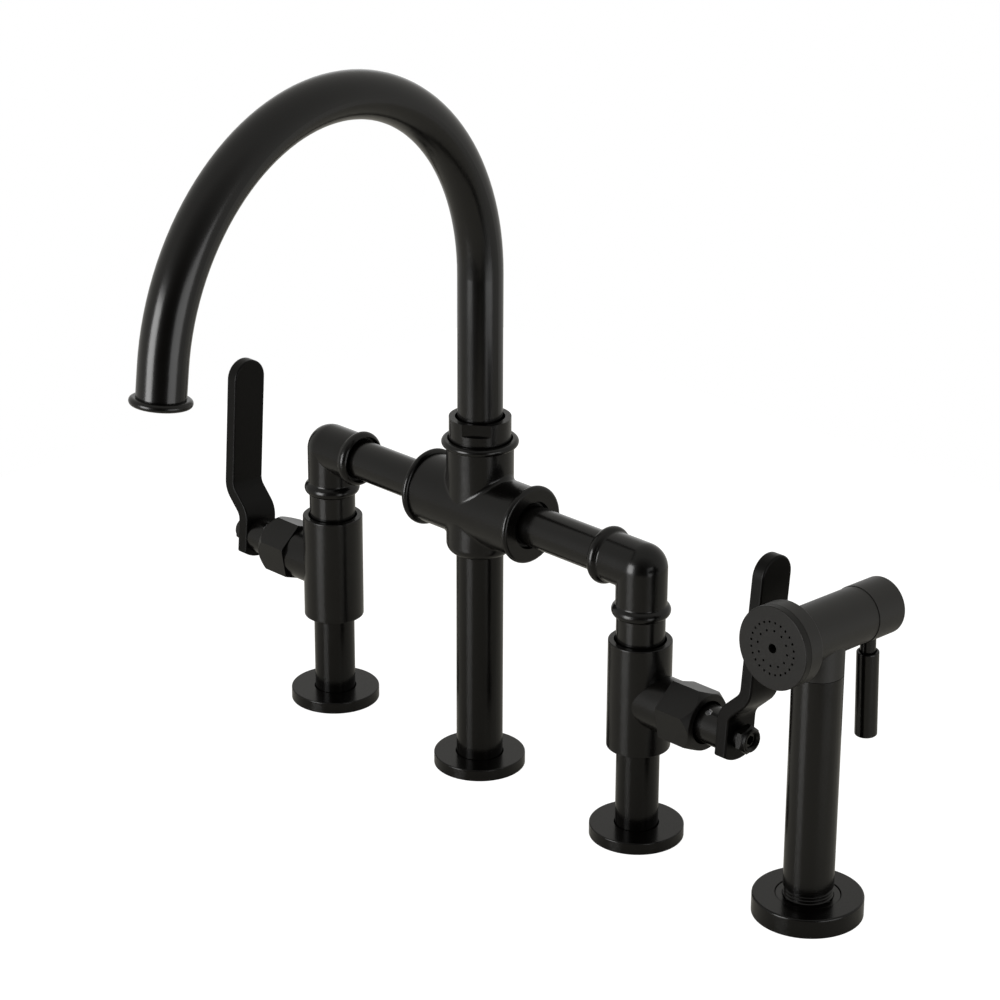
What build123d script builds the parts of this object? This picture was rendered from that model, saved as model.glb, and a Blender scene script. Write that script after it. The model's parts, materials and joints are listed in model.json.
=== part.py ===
"""A bridge kitchen faucet with a side sprayer, in millimetres.

The origin is the centre of the middle post's foot, on the deck. +X runs along the bridge
towards the sprayer, -Y points to the sink in front, and +Z is up.
"""

import os
from math import cos, pi, radians, sin, sqrt, tan

from build123d import *

# ---- layout on the deck ----
LEG_SPACING = 203.2
SPRAYER_SPACING = 101.6
BRIDGE_HEIGHT = 132.2
VALVE_HEIGHT = 70.3
LEG_X = LEG_SPACING / 2
SPRAYER_X = LEG_X + SPRAYER_SPACING

# ---- clearances ----
FIT = 0.05
RUNNING = 0.05
GAP = 0.3

# ---- deck flanges and their gaskets ----
FLANGE_DIAMETER = 43.4
FLANGE_THICKNESS = 5.6
FLANGE_EDGE = 0.5
FLANGE_SLACK = 0.5
GASKET_THICKNESS = 1.0
GASKET_RIM = 2.2

# ---- posts ----
POST_DIAMETER = 22.0
POST_BORE = 16.0
POST_THREAD_BORE = 18.4
LEG_DIAMETER = 19.8
LEG_BORE = 12.6
LEG_THREAD_BORE = 14.95
FOOT_THREAD_LENGTH = 14.0

# ---- centre cross ----
CROSS_DIAMETER = 31.3
CROSS_BELOW = 22.8
CROSS_ABOVE = 33.6
CROSS_LOW = BRIDGE_HEIGHT - CROSS_BELOW
CROSS_HIGH = BRIDGE_HEIGHT + CROSS_ABOVE
CROSS_FOOT_ROUND = 5.0
CROSS_CREASE = 2.5
BRANCH_DIAMETER = 33.0
CROSS_REACH = 34.2
COLLAR_DIAMETER = 36.8
COLLAR_WIDTH = 3.4
LIP_DIAMETER = 35.8
LIP_WIDTH = 3.4
POST_SOCKET_DEPTH = 7.0
CROSS_FLOOR = 4.0
PASSAGE_DIAMETER = 13.0

# ---- bridge tubes ----
TUBE_DIAMETER = 19.0
TUBE_WALL = 1.6
TUBE_SOCKET_DEPTH = 12.0
RECESS_DIAMETER = 22.7
RECESS_DEPTH = 4.0
TUBE_RING_WIRE = 1.7

# ---- elbows and nipples ----
ELBOW_DIAMETER = 23.2
ELBOW_REACH = 22.9
ELBOW_DROP = 22.9
ELBOW_SOCKET_DEPTH = 9.0
BEAD_DIAMETER = 26.8
BEAD_WIDTH = 5.8
BEAD_BLEND = 1.2
ELBOW_CREASE = 1.0
NIPPLE_DIAMETER = 22.2
NIPPLE_BORE = 13.0
SPIGOT_DIAMETER = 18.0
SPIGOT_LENGTH = 8.0

# ---- valve bodies ----
VALVE_BODY_DIAMETER = 29.1
VALVE_BODY_BELOW = 25.3
VALVE_BODY_ABOVE = 27.2
VALVE_BODY_LOW = VALVE_HEIGHT - VALVE_BODY_BELOW
VALVE_BODY_HIGH = VALVE_HEIGHT + VALVE_BODY_ABOVE
VALVE_BODY_EDGE = 0.5
VALVE_MOUTH_DIAMETER = 23.9
VALVE_MOUTH_DEPTH = 9.5
OUTLET_RISE = 6.2
OUTLET_FLOOR = VALVE_HEIGHT + OUTLET_RISE
INLET_DIAMETER = 11.0
INLET_RISE = 1.7
INLET_ROOF = VALVE_HEIGHT + INLET_RISE
LEG_SOCKET_DEPTH = 10.0
PORT_DIAMETER = 8.0
CAVITY_DIAMETER = 18.8
CAVITY_START = 6.4

# ---- valve boss and bonnet nut, measured out from the leg's axis ----
BOSS_DIAMETER = 25.6
NUT_START = 22.2
NECK_DIAMETER = 22.4
NECK_LENGTH = 5.8
NUT_ACROSS_FLATS = 26.4
NUT_LENGTH = 18.9
NUT_TURN = 10.0
NUT_FACE_DIAMETER = 26.0
NUT_FACE_SLOPE = 60.0
NUT_BACK_BEVEL = 0.5
NUT_BACK_SLOPE = 30.0
NUT_MOUTH_DIAMETER = 20.2

# ---- ceramic cartridge ----
SEAT_THICKNESS = 2.5
SEAT_DIAMETER = 15.0
DISC_DIAMETER = 14.8
DISC_THICKNESS = 2.5
DISC_GAP = 0.05
DISC_RIM = 2.0
DISC_MIDDLE = 1.2
DISC_BAR = 2.4
CARTRIDGE_NOSE_DIAMETER = 17.2
CARTRIDGE_NOSE_LENGTH = 10.5
CARTRIDGE_DIAMETER = 18.6
CARTRIDGE_FLANGE_DIAMETER = 22.2
CARTRIDGE_FLANGE_WIDTH = 2.0
CARTRIDGE_TAIL = 2.4
DRIVER_THICKNESS = 4.0
OUTLET_WINDOW_WIDTH = 6.0
OUTLET_WINDOW_LENGTH = 3.0
SPINDLE_DIAMETER = 9.2
SPINDLE_GROOVE = 0.9
SPINDLE_RING_WIRE = 1.5

# ---- handle hubs, levers and their nuts, measured out from the leg's axis ----
HUB_START = 38.0
HUB_END = 53.7
HUB_DIAMETER = 18.0
HUB_EDGE = 0.4
SPINDLE_END = 48.5
STUD_DIAMETER = 6.4
STUD_LENGTH = 12.0
STUD_SOCKET = 4.0
STUD_SOCKET_DEPTH = 3.0
SET_SCREW_X = 45.0
SET_SCREW_DIAMETER = 3.4
SET_SCREW_SOCKET = 2.0
SET_SCREW_ANGLE = 62.8
SET_SCREW_RECESS = 0.5
LEVER_THICKNESS = 6.4
LEVER_WIDTH = 19.2
LEVER_FOOT = 11.1
LEVER_FOOT_RADIUS = 16.5
LEVER_JOG_START = 11.9
LEVER_JOG_OUT = 11.2
LEVER_JOG_RISE = 10.8
LEVER_FLARE = 1.0
LEVER_BEND = 9.0
LEVER_TIP = 88.0
LEVER_LEAN = 4.5
LEVER_EDGE = 0.9
END_NUT_ACROSS_FLATS = 12.0
END_NUT_TURN = -10.0
END_NUT_FOOT_LENGTH = 2.0
END_NUT_HEX_LENGTH = 3.8
END_NUT_ROUND_DIAMETER = 10.6
END_NUT_ROUND_LENGTH = 1.4
END_NUT_SLOPE = 30.0
END_NUT_BEVEL = 0.4
END_NUT_LEAD_IN = 1.0

# ---- spout ----
SPOUT_DIAMETER = 21.0
SPOUT_WALL = 1.5
RISER_LENGTH = 92.6
SPOUT_BEND_RADIUS = 102.8
SPOUT_BEND_ANGLE = 172.4
SPOUT_DROP = 14.7
SPOUT_SWIVEL = 6.5
SPOUT_SEAT_RISE = 19.8
SPOUT_SEAT = BRIDGE_HEIGHT + SPOUT_SEAT_RISE
SPOUT_RISE = SPOUT_SEAT + RISER_LENGTH
SLIP_WASHER_THICKNESS = 1.0
SHOULDER_DIAMETER = 26.4
SHOULDER_WIDTH = 2.0
COLLAR_BARREL_DIAMETER = 23.8
COLLAR_BARREL_LENGTH = 11.0
COLLAR_BORE = 15.0
COLLAR_SOCKET_DEPTH = 4.0
COLLAR_RING_WIRE = 1.8
COLLAR_RING_INSET = 2.4
COLLAR_RING_PITCH = 3.6
COLLAR_RINGS = 2

# ---- spout nut ----
SPOUT_NUT_DIAMETER = 28.8
SPOUT_NUT_BORE = 23.2
SPOUT_NUT_SINK = 4.2
SPOUT_NUT_BARREL = 9.0
SPOUT_NUT_FLATS = 5.8
SPOUT_NUT_LEDGE = CROSS_HIGH - SPOUT_NUT_SINK
SPOUT_NUT_FLATS_LOW = SPOUT_NUT_LEDGE + SPOUT_NUT_BARREL
SPOUT_NUT_HIGH = SPOUT_NUT_FLATS_LOW + SPOUT_NUT_FLATS
SPOUT_NUT_ACROSS_FLATS = 25.5
SPOUT_NUT_TURN = -52.6
NUT_THREAD_DIAMETER = 27.0
MOUTH_DIAMETER = 30.4

# ---- aerator ----
AERATOR_DIAMETER = 26.4
AERATOR_WIDTH = 3.4
AERATOR_OVERLAP = 2.2
AERATOR_STEP = 0.6
AERATOR_SLEEVE_WALL = 1.2
AERATOR_SLEEVE_LENGTH = 8.0
AERATOR_INSERT_LENGTH = 6.0
AERATOR_HOLE = 1.3
AERATOR_HOLE_PITCH = 3.0
AERATOR_WASHER_THICKNESS = 1.6

# ---- sprayer base ----
BASE_DIAMETER = 49.3
BASE_THICKNESS = 9.0
BASE_EDGE = 0.9
BASE_LEDGE = 2.6
BASE_HOLE_DIAMETER = 18.0
GUIDE_DIAMETER = 28.6
GUIDE_SEAM = 0.3
GUIDE_BORE_SLACK = 0.4
GUIDE_SINK = 0.3
GUIDE_LEDGE = 1.6
GUIDE_HOLE_DIAMETER = 17.0

# ---- sprayer handle ----
HANDLE_DIAMETER = 22.5
HANDLE_BORE = 17.0
HANDLE_LOW = 13.6
HANDLE_SEAM = 0.25
SEAM_DEPTH = 0.5
FOOT_DIAMETER = 22.1
FOOT_GROOVE_DEPTH = 0.8
FOOT_GROOVE_PITCH = 1.6
FOOT_GROOVES = 5
FOOT_GROOVE_SHARE = 0.8
HOSE_THREAD_BORE = 13.9
HOSE_THREAD_LENGTH = 8.6
HANDLE_SPIGOT_LENGTH = 8.0
HANDLE_WATERWAY = 10.0

# ---- sprayer head, measured along its own axis, which tips up at the face ----
HEAD_HEIGHT = 135.3
NECK_DROP = 20.1
HANDLE_HIGH = HEAD_HEIGHT - NECK_DROP
HEAD_TILT = 2.3
HEAD_DIAMETER = 25.0
HEAD_WALL = 1.6
FACE_Y = -30.9
FACE_DIAMETER = 36.8
FACE_PLATE_THICKNESS = 3.3
FACE_SEAM = 0.2
FACE_EDGE = 0.4
FACE_SPIGOT_LENGTH = 2.0
FACE_SPIGOT_WALL = 1.6
DISC_WIDTH = 7.3
DISC_FLOOR = 2.0
DISC_WALL = 3.0
WEB_FRONT = -12.0
WEB_THICKNESS = 2.0
WEB_HOLES = 6
WEB_HOLE_DIAMETER = 3.6
WEB_HOLE_RADIUS = 7.6
REAR_SEAM_Y = 24.5
REAR_Y = 42.2
CAP_DIAMETER = 25.6
REAR_EDGE = 0.9
CAP_SEAM = 0.12
CAP_SPIGOT_LENGTH = 4.0
SPRAY_HOLE = 1.1
JET_HOLE = 4.2
OUTER_HOLES = 24
OUTER_HOLE_RADIUS = 11.6
INNER_HOLES = 12
INNER_HOLE_RADIUS = 8.0
HOLE_PHASE = 3.0

# ---- trigger, in the head's own frame ----
TRIGGER_Y = 34.0
TRIGGER_LEAN = 4.4
TRIGGER_TRAVEL = 8.0
PIVOT_RISE = 6.5
PIVOT_PIN_DIAMETER = 2.4
PIVOT_PIN_LENGTH = 18.0
PIVOT_PIN_INSET = 0.6
STEM_DIAMETER = 7.0
STEM_CREST = 3.0
STEM_SLOT_SLACK = 0.5
STEM_ENTRY = 12.0
STEM_RECESS_WIDTH = 0.6
STEM_RECESS_DEPTH = 1.0
ROD_DIAMETER = 10.0
ROD_TOP = 19.6
ROD_LENGTH = 40.5
ROD_EDGE = 0.6

# ---- spray valve, in the head's own frame ----
BLOCK_REAR = REAR_SEAM_Y - CAP_SPIGOT_LENGTH - FIT
BLOCK_GROOVE_LENGTH = 14.0
BLOCK_GROOVE_DIAMETER = 16.4
VALVE_SEAT_Y = 3.0
SEAT_BORE = 7.2
GALLERY_Y = 8.0
GALLERY_DIAMETER = 6.0
GALLERY_END = 12.0
GALLERY_SPARE = 0.8
POPPET_CHAMBER_DIAMETER = 12.4
POPPET_DIAMETER = 10.0
POPPET_LENGTH = 3.4
POPPET_RECESS = 1.5
PLUNGER_DIAMETER = 5.0
PLUNGER_RING_WIRE = 1.5
PLUNGER_GROOVE = 1.0
PLUNGER_RING_Y = 17.0
SPRING_WIRE = 0.8
SPRING_DIAMETER = 8.2
SPRING_TURNS = 4
SPRING_SLACK = 0.1

TRAVEL = radians(TRIGGER_TRAVEL) * PIVOT_RISE


def rod(radius, low, high):
    """A round bar on the Z axis, from one height to another."""
    return Pos(0, 0, low) * Cylinder(radius, high - low, align=(Align.CENTER, Align.CENTER, Align.MIN))


def pipe(outer, inner, low, high):
    """A tube on the Z axis, given by its two radii."""
    return rod(outer, low, high) - rod(inner, low - 1, high + 1)


def hexagon(across_flats, low, high, turn=0.0):
    """A six-sided bar on the Z axis."""
    outline = Rot(0, 0, turn) * RegularPolygon(across_flats / 2, 6, major_radius=False)
    return Pos(0, 0, low) * extrude(outline, high - low)


def turned_face(shape, face_radius, height, slope):
    """Turns a bar's corners down to a round face at one end; slope is the cone's angle to it."""
    reach = max(vertex.X**2 + vertex.Y**2 for vertex in shape.vertices()) ** 0.5 + 1
    drop = (reach - face_radius) * tan(radians(slope))
    outward = 1 if height > shape.center().Z else -1
    outline = Polyline(
        (face_radius, height),
        (reach, height - outward * drop),
        (reach, height + outward),
        (face_radius, height + outward),
        close=True,
    )
    return shape - revolve(Plane.XZ * make_face(outline), Axis.Z)


def rim(radius, width, low, inner):
    """A collar with a full round edge, solid in to the inner radius."""
    high = low + width
    middle = radius - width / 2
    outline = Polyline((middle, low), (inner, low), (inner, high), (middle, high))
    outline += ThreePointArc((middle, high), (radius, low + width / 2), (middle, low))
    return revolve(Plane.XZ * make_face(outline), Axis.Z)


def edge_at(shape, height, radius):
    """The round edges of a turned shape at one height and one radius."""
    found = [
        edge
        for edge in shape.edges().filter_by(GeomType.CIRCLE)
        if abs(edge.arc_center.Z - height) < 0.01 and abs(edge.radius - radius) < 0.01
    ]
    return ShapeList(found)


def along_x(shape, x=0.0, z=0.0):
    """Turns a shape made on the Z axis to point along +X, then places it."""
    return Pos(x, 0, z) * Rot(0, 90, 0) * shape


def along_y(shape):
    """Turns a shape made on the Z axis to point along +Y."""
    return Rot(-90, 0, 0) * shape


def mirrored(shape):
    """The left-hand twin of a right-hand piece."""
    return mirror(shape, about=Plane.YZ)


# ---- posts, flanges and gaskets ----


def flange(post_diameter):
    """A loose round cover plate at a post's foot, hollowed under for its gasket."""
    radius = FLANGE_DIAMETER / 2
    plate = rod(radius, 0, FLANGE_THICKNESS)
    plate = fillet(edge_at(plate, FLANGE_THICKNESS, radius), FLANGE_EDGE)
    plate -= rod(post_diameter / 2 + FLANGE_SLACK, -1, FLANGE_THICKNESS + 1)
    return plate - rod(radius - GASKET_RIM, -1, GASKET_THICKNESS)


def gasket(post_diameter):
    """The flat rubber ring in a flange's hollow."""
    return pipe(FLANGE_DIAMETER / 2 - GASKET_RIM - FIT, post_diameter / 2 + FLANGE_SLACK, 0, GASKET_THICKNESS)


def post(diameter, bore, thread_bore, top):
    """A tube that stands on the deck, tapped in its foot for a hold-down shank."""
    tube = pipe(diameter / 2, bore / 2, 0, top)
    return tube - rod(thread_bore / 2, -1, FOOT_THREAD_LENGTH)


# ---- centre cross and bridge tubes ----


def tube_ring():
    """One rubber ring round a bridge tube, at the bottom of a mouth's recess."""
    return Torus(TUBE_DIAMETER / 2 + FIT + TUBE_RING_WIRE / 2, TUBE_RING_WIRE / 2)


def mouth_cut(end):
    """What is bored out of a fitting for a bridge tube that enters it at a height along Z."""
    cut = rod(RECESS_DIAMETER / 2, end - RECESS_DEPTH, end + 1)
    cut += rod(TUBE_DIAMETER / 2 + FIT, end - TUBE_SOCKET_DEPTH, end + 1)
    return cut + rod(PASSAGE_DIAMETER / 2, 0, end + 1)


def centre_cross():
    """The casting that carries the spout, with a collared branch each side."""
    body = rod(CROSS_DIAMETER / 2, CROSS_LOW, CROSS_HIGH)
    body = fillet(edge_at(body, CROSS_LOW, CROSS_DIAMETER / 2), CROSS_FOOT_ROUND)
    branch = rod(BRANCH_DIAMETER / 2, -CROSS_REACH, CROSS_REACH)
    casting = body + along_x(branch, z=BRIDGE_HEIGHT)
    creases = [e for e in casting.edges() if e.geom_type not in (GeomType.CIRCLE, GeomType.LINE)]
    casting = fillet(ShapeList(creases), CROSS_CREASE)
    collar = rim(COLLAR_DIAMETER / 2, COLLAR_WIDTH, CROSS_REACH - COLLAR_WIDTH, PASSAGE_DIAMETER / 2)
    casting += along_x(collar, z=BRIDGE_HEIGHT)
    casting += mirrored(along_x(collar, z=BRIDGE_HEIGHT))
    casting += rim(LIP_DIAMETER / 2, LIP_WIDTH, CROSS_HIGH - LIP_WIDTH, MOUTH_DIAMETER / 2)
    mouth = along_x(mouth_cut(CROSS_REACH), z=BRIDGE_HEIGHT)
    casting -= mouth
    casting -= mirrored(mouth)
    casting -= rod(POST_DIAMETER / 2 + FIT, CROSS_LOW - 1, CROSS_LOW + POST_SOCKET_DEPTH)
    chamber_low = CROSS_LOW + POST_SOCKET_DEPTH + CROSS_FLOOR
    casting -= rod(COLLAR_BARREL_DIAMETER / 2 + RUNNING, chamber_low, SPOUT_SEAT)
    casting -= rod(NUT_THREAD_DIAMETER / 2 + FIT, SPOUT_SEAT, CROSS_HIGH)
    return casting - rod(MOUTH_DIAMETER / 2, SPOUT_NUT_LEDGE, CROSS_HIGH + 1)


def bridge_tube():
    """The right-hand tube from the cross to its elbow."""
    start = CROSS_REACH - TUBE_SOCKET_DEPTH
    end = LEG_X - ELBOW_REACH + TUBE_SOCKET_DEPTH
    radius = TUBE_DIAMETER / 2
    return along_x(pipe(radius, radius - TUBE_WALL, start, end), z=BRIDGE_HEIGHT)


def bridge_rings():
    """The four rubber rings of the bridge, two for each tube."""
    ring_out = TUBE_RING_WIRE / 2
    places = [CROSS_REACH - RECESS_DEPTH + ring_out, LEG_X - ELBOW_REACH + RECESS_DEPTH - ring_out]
    right = [along_x(tube_ring(), x=x, z=BRIDGE_HEIGHT) for x in places]
    return right + [mirrored(ring) for ring in right]


# ---- elbow and nipple ----


def elbow_arm(reach):
    """One straight half of an elbow, with a bead that runs softly into it."""
    radius = ELBOW_DIAMETER / 2
    wire = BEAD_WIDTH / 2
    ring = BEAD_DIAMETER / 2 - wire
    arm = rod(radius, 0, reach) + Pos(0, 0, reach - wire) * Torus(ring, wire)
    meeting = reach - wire - sqrt(wire * wire - (radius - ring) ** 2)
    return fillet(edge_at(arm, meeting, radius), BEAD_BLEND)


def elbow():
    """A tight pipe elbow, round at its outer corner, with a bead at each mouth."""
    centre = Pos(LEG_X, 0, BRIDGE_HEIGHT)
    to_bridge = centre * Rot(0, -90, 0)
    down = centre * Rot(180, 0, 0)
    casting = to_bridge * elbow_arm(ELBOW_REACH) + down * elbow_arm(ELBOW_DROP)
    casting += centre * Sphere(ELBOW_DIAMETER / 2)
    creases = [e for e in casting.edges() if e.geom_type not in (GeomType.CIRCLE, GeomType.LINE)]
    casting = fillet(ShapeList(creases), ELBOW_CREASE)
    casting -= to_bridge * mouth_cut(ELBOW_REACH)
    socket = rod(SPIGOT_DIAMETER / 2 + FIT, ELBOW_DROP - ELBOW_SOCKET_DEPTH, ELBOW_DROP + 1)
    casting -= down * (socket + rod(PASSAGE_DIAMETER / 2, 0, ELBOW_DROP))
    return casting - centre * Sphere(PASSAGE_DIAMETER / 2)


def nipple():
    """The short pipe between an elbow and the valve body under it."""
    low = VALVE_BODY_HIGH - VALVE_MOUTH_DEPTH
    high = BRIDGE_HEIGHT - ELBOW_DROP
    barrel = rod(NIPPLE_DIAMETER / 2, low, high)
    barrel += rod(SPIGOT_DIAMETER / 2, low - SPIGOT_LENGTH, high + SPIGOT_LENGTH)
    barrel -= rod(NIPPLE_BORE / 2, low - SPIGOT_LENGTH - 1, high + SPIGOT_LENGTH + 1)
    return Pos(LEG_X, 0, 0) * barrel


# ---- valve ----


def out_from_leg(shape):
    """Places a shape made on the Z axis so that it points outwards along the right valve's axis."""
    return along_x(shape, x=LEG_X, z=VALVE_HEIGHT)


def valve_body():
    """The upright sleeve of a valve: inlet from below, cartridge at the side, outlet above."""
    radius = VALVE_BODY_DIAMETER / 2
    body = rod(radius, VALVE_BODY_LOW, VALVE_BODY_HIGH)
    ends = edge_at(body, VALVE_BODY_LOW, radius) + edge_at(body, VALVE_BODY_HIGH, radius)
    body = fillet(ends, VALVE_BODY_EDGE)
    body -= rod(VALVE_MOUTH_DIAMETER / 2, VALVE_BODY_HIGH - VALVE_MOUTH_DEPTH, VALVE_BODY_HIGH + 1)
    body -= rod(SPIGOT_DIAMETER / 2 + FIT, OUTLET_FLOOR, VALVE_BODY_HIGH)
    body -= rod(LEG_DIAMETER / 2 + FIT, VALVE_BODY_LOW - 1, VALVE_BODY_LOW + LEG_SOCKET_DEPTH)
    body -= rod(INLET_DIAMETER / 2, VALVE_BODY_LOW, INLET_ROOF)
    body = Pos(LEG_X, 0, 0) * body
    body -= out_from_leg(rod(PORT_DIAMETER / 2, 0, CAVITY_START + 1))
    return body - out_from_leg(rod(CAVITY_DIAMETER / 2, CAVITY_START, VALVE_BODY_DIAMETER))


def valve_boss():
    """The round boss brazed to the sleeve's side, with the neck that the bonnet nut screws on."""
    shoulder = NUT_START - FIT
    boss = rod(BOSS_DIAMETER / 2, 0, shoulder)
    boss += rod(NECK_DIAMETER / 2, 0, shoulder + NECK_LENGTH)
    boss -= rod(CAVITY_DIAMETER / 2, -1, shoulder + NECK_LENGTH + 1)
    boss = out_from_leg(boss)
    boss -= Pos(LEG_X, 0, 0) * rod(VALVE_BODY_DIAMETER / 2 + FIT, VALVE_BODY_LOW, VALVE_BODY_HIGH)
    return boss.solids().sort_by(Axis.X)[-1]


def bonnet_nut():
    """The hexagon nut that holds the cartridge in the boss, open at its outer end."""
    end = NUT_START + NUT_LENGTH
    back_face = NUT_ACROSS_FLATS / sqrt(3) - NUT_BACK_BEVEL
    nut = hexagon(NUT_ACROSS_FLATS, NUT_START, end, NUT_TURN)
    nut = turned_face(nut, NUT_FACE_DIAMETER / 2, end, NUT_FACE_SLOPE)
    nut = turned_face(nut, back_face, NUT_START, NUT_BACK_SLOPE)
    thread_end = NUT_START + NECK_LENGTH + CARTRIDGE_FLANGE_WIDTH + FIT
    nut -= rod(NECK_DIAMETER / 2 + FIT, NUT_START - 1, thread_end)
    return out_from_leg(nut - rod(NUT_MOUTH_DIAMETER / 2, NUT_START, end + 1))


SEAT_END = CAVITY_START + SEAT_THICKNESS
FIXED_DISC_END = SEAT_END + DISC_THICKNESS
MOVING_DISC_START = FIXED_DISC_END + DISC_GAP
DRIVER_START = MOVING_DISC_START + DISC_THICKNESS + DISC_GAP
DRIVER_END = DRIVER_START + DRIVER_THICKNESS
FLANGE_START = NUT_START - FIT + NECK_LENGTH + FIT
CARTRIDGE_END = FLANGE_START + CARTRIDGE_FLANGE_WIDTH + CARTRIDGE_TAIL


def cartridge_seat():
    """The rubber ring that seals the inlet port against the fixed disc."""
    return out_from_leg(pipe(SEAT_DIAMETER / 2, PORT_DIAMETER / 2, CAVITY_START, SEAT_END))


def half_moons(low, high):
    """The two openings through a ceramic disc, on opposite sides of its middle."""
    ring = pipe(DISC_DIAMETER / 2 - DISC_RIM, DISC_MIDDLE, low, high)
    return ring - Pos(0, 0, (low + high) / 2) * Box(DISC_DIAMETER, DISC_BAR, high - low + 2)


def fixed_disc():
    """The ceramic disc that stays still."""
    disc = rod(DISC_DIAMETER / 2, SEAT_END, FIXED_DISC_END)
    return out_from_leg(disc - half_moons(SEAT_END - 1, FIXED_DISC_END + 1))


def moving_disc():
    """The ceramic disc that the spindle turns."""
    end = MOVING_DISC_START + DISC_THICKNESS
    disc = rod(DISC_DIAMETER / 2, MOVING_DISC_START, end)
    return out_from_leg(disc - half_moons(MOVING_DISC_START - 1, end + 1))


def cartridge_shell():
    """The brass shell round the discs, with a flange that the bonnet nut clamps."""
    nose_end = SEAT_END + CARTRIDGE_NOSE_LENGTH
    shell = rod(CARTRIDGE_NOSE_DIAMETER / 2, SEAT_END, nose_end)
    shell += rod(CARTRIDGE_DIAMETER / 2, nose_end, CARTRIDGE_END)
    shell += rod(CARTRIDGE_FLANGE_DIAMETER / 2, FLANGE_START, FLANGE_START + CARTRIDGE_FLANGE_WIDTH)
    shell -= rod(DISC_DIAMETER / 2 + RUNNING, SEAT_END - 1, DRIVER_END + GAP)
    shell -= rod(SPINDLE_DIAMETER / 2 + RUNNING, SEAT_END, CARTRIDGE_END + 1)
    window = Box(OUTLET_WINDOW_WIDTH, 2 * CARTRIDGE_DIAMETER, OUTLET_WINDOW_LENGTH)
    return out_from_leg(shell - Pos(0, 0, DRIVER_START + OUTLET_WINDOW_LENGTH / 2) * window)


def spindle():
    """The stem that carries the handle's turn to the moving disc."""
    ring_at = FLANGE_START + CARTRIDGE_FLANGE_WIDTH / 2
    stem = rod(DISC_DIAMETER / 2 - RUNNING, DRIVER_START, DRIVER_END)
    stem += rod(SPINDLE_DIAMETER / 2, DRIVER_START, SPINDLE_END)
    half = SPINDLE_RING_WIRE / 2
    groove = pipe(SPINDLE_DIAMETER, SPINDLE_DIAMETER / 2 - SPINDLE_GROOVE, ring_at - half, ring_at + half)
    return out_from_leg(stem - groove)


def spindle_ring():
    """The rubber ring in the spindle's groove."""
    ring_at = FLANGE_START + CARTRIDGE_FLANGE_WIDTH / 2
    half = SPINDLE_RING_WIRE / 2 - FIT
    inner = SPINDLE_DIAMETER / 2 - SPINDLE_GROOVE
    return out_from_leg(pipe(SPINDLE_DIAMETER / 2 + RUNNING / 2, inner, ring_at - half, ring_at + half))


# ---- handle ----


def out_from_hub(shape):
    """Tips a shape back with the resting lever, then places it on the right valve's axis."""
    return Pos(LEG_X, 0, VALVE_HEIGHT) * Rot(-LEVER_LEAN, 0, 0) * shape


def set_screw_place():
    """Where the set screw sits: its axis runs out through the hub's wall, forwards and up."""
    return Location((LEG_X + SET_SCREW_X, 0, VALVE_HEIGHT), (90 - SET_SCREW_ANGLE, 0, 0))


def hub():
    """The round hub on the spindle's end, with the stud that holds the lever."""
    radius = HUB_DIAMETER / 2
    body = rod(radius, HUB_START, HUB_END)
    body = fillet(edge_at(body, HUB_START, radius), HUB_EDGE)
    body -= rod(SPINDLE_DIAMETER / 2 + FIT, HUB_START - 1, SPINDLE_END + FIT)
    stud_end = HUB_END + STUD_LENGTH
    stud = rod(STUD_DIAMETER / 2, HUB_END, stud_end)
    stud -= hexagon(STUD_SOCKET, stud_end - STUD_SOCKET_DEPTH, stud_end + 1)
    body = out_from_leg(body + stud)
    return body - set_screw_place() * rod(SET_SCREW_DIAMETER / 2 + FIT, 0, HUB_DIAMETER)


def set_screw():
    """The small socket screw that pins the hub to its spindle."""
    top = HUB_DIAMETER / 2 - SET_SCREW_RECESS
    screw = rod(SET_SCREW_DIAMETER / 2, SPINDLE_DIAMETER / 2 + FIT, top)
    screw -= hexagon(SET_SCREW_SOCKET, top - SET_SCREW_SOCKET, top + 1)
    return set_screw_place() * screw


def lever():
    """The bent flat lever: a plate on the hub, a step outwards, and a long round-tipped blade."""
    plate_x = HUB_END + LEVER_THICKNESS / 2
    blade_x = plate_x + LEVER_JOG_OUT
    jog_top = LEVER_JOG_START + LEVER_JOG_RISE
    reach = LEVER_TIP + LEVER_THICKNESS
    tip_x = blade_x + (reach - jog_top) * tan(radians(LEVER_FLARE))
    middle_line = FilletPolyline(
        (plate_x, -reach),
        (plate_x, LEVER_JOG_START),
        (blade_x, jog_top),
        (tip_x, reach),
        radius=LEVER_BEND,
    )
    strip = extrude(Plane.XZ * trace(middle_line, LEVER_THICKNESS), LEVER_WIDTH, both=True)
    tip_centre = LEVER_TIP - LEVER_WIDTH / 2
    outline = Pos(0, tip_centre / 2) * Rectangle(LEVER_WIDTH, tip_centre)
    outline += Pos(0, tip_centre) * Circle(LEVER_WIDTH / 2)
    foot = Pos(0, LEVER_FOOT_RADIUS - LEVER_FOOT) * Circle(LEVER_FOOT_RADIUS)
    outline += foot & Rectangle(LEVER_WIDTH, 2 * LEVER_FOOT)
    blade = strip & extrude(Plane.YZ * outline, 2 * reach)
    blade = fillet(blade.edges(), LEVER_EDGE)
    stud_hole = along_x(rod(STUD_DIAMETER / 2 + FIT, HUB_END - 1, HUB_END + LEVER_THICKNESS + 1))
    return out_from_hub(blade - stud_hole)


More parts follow.
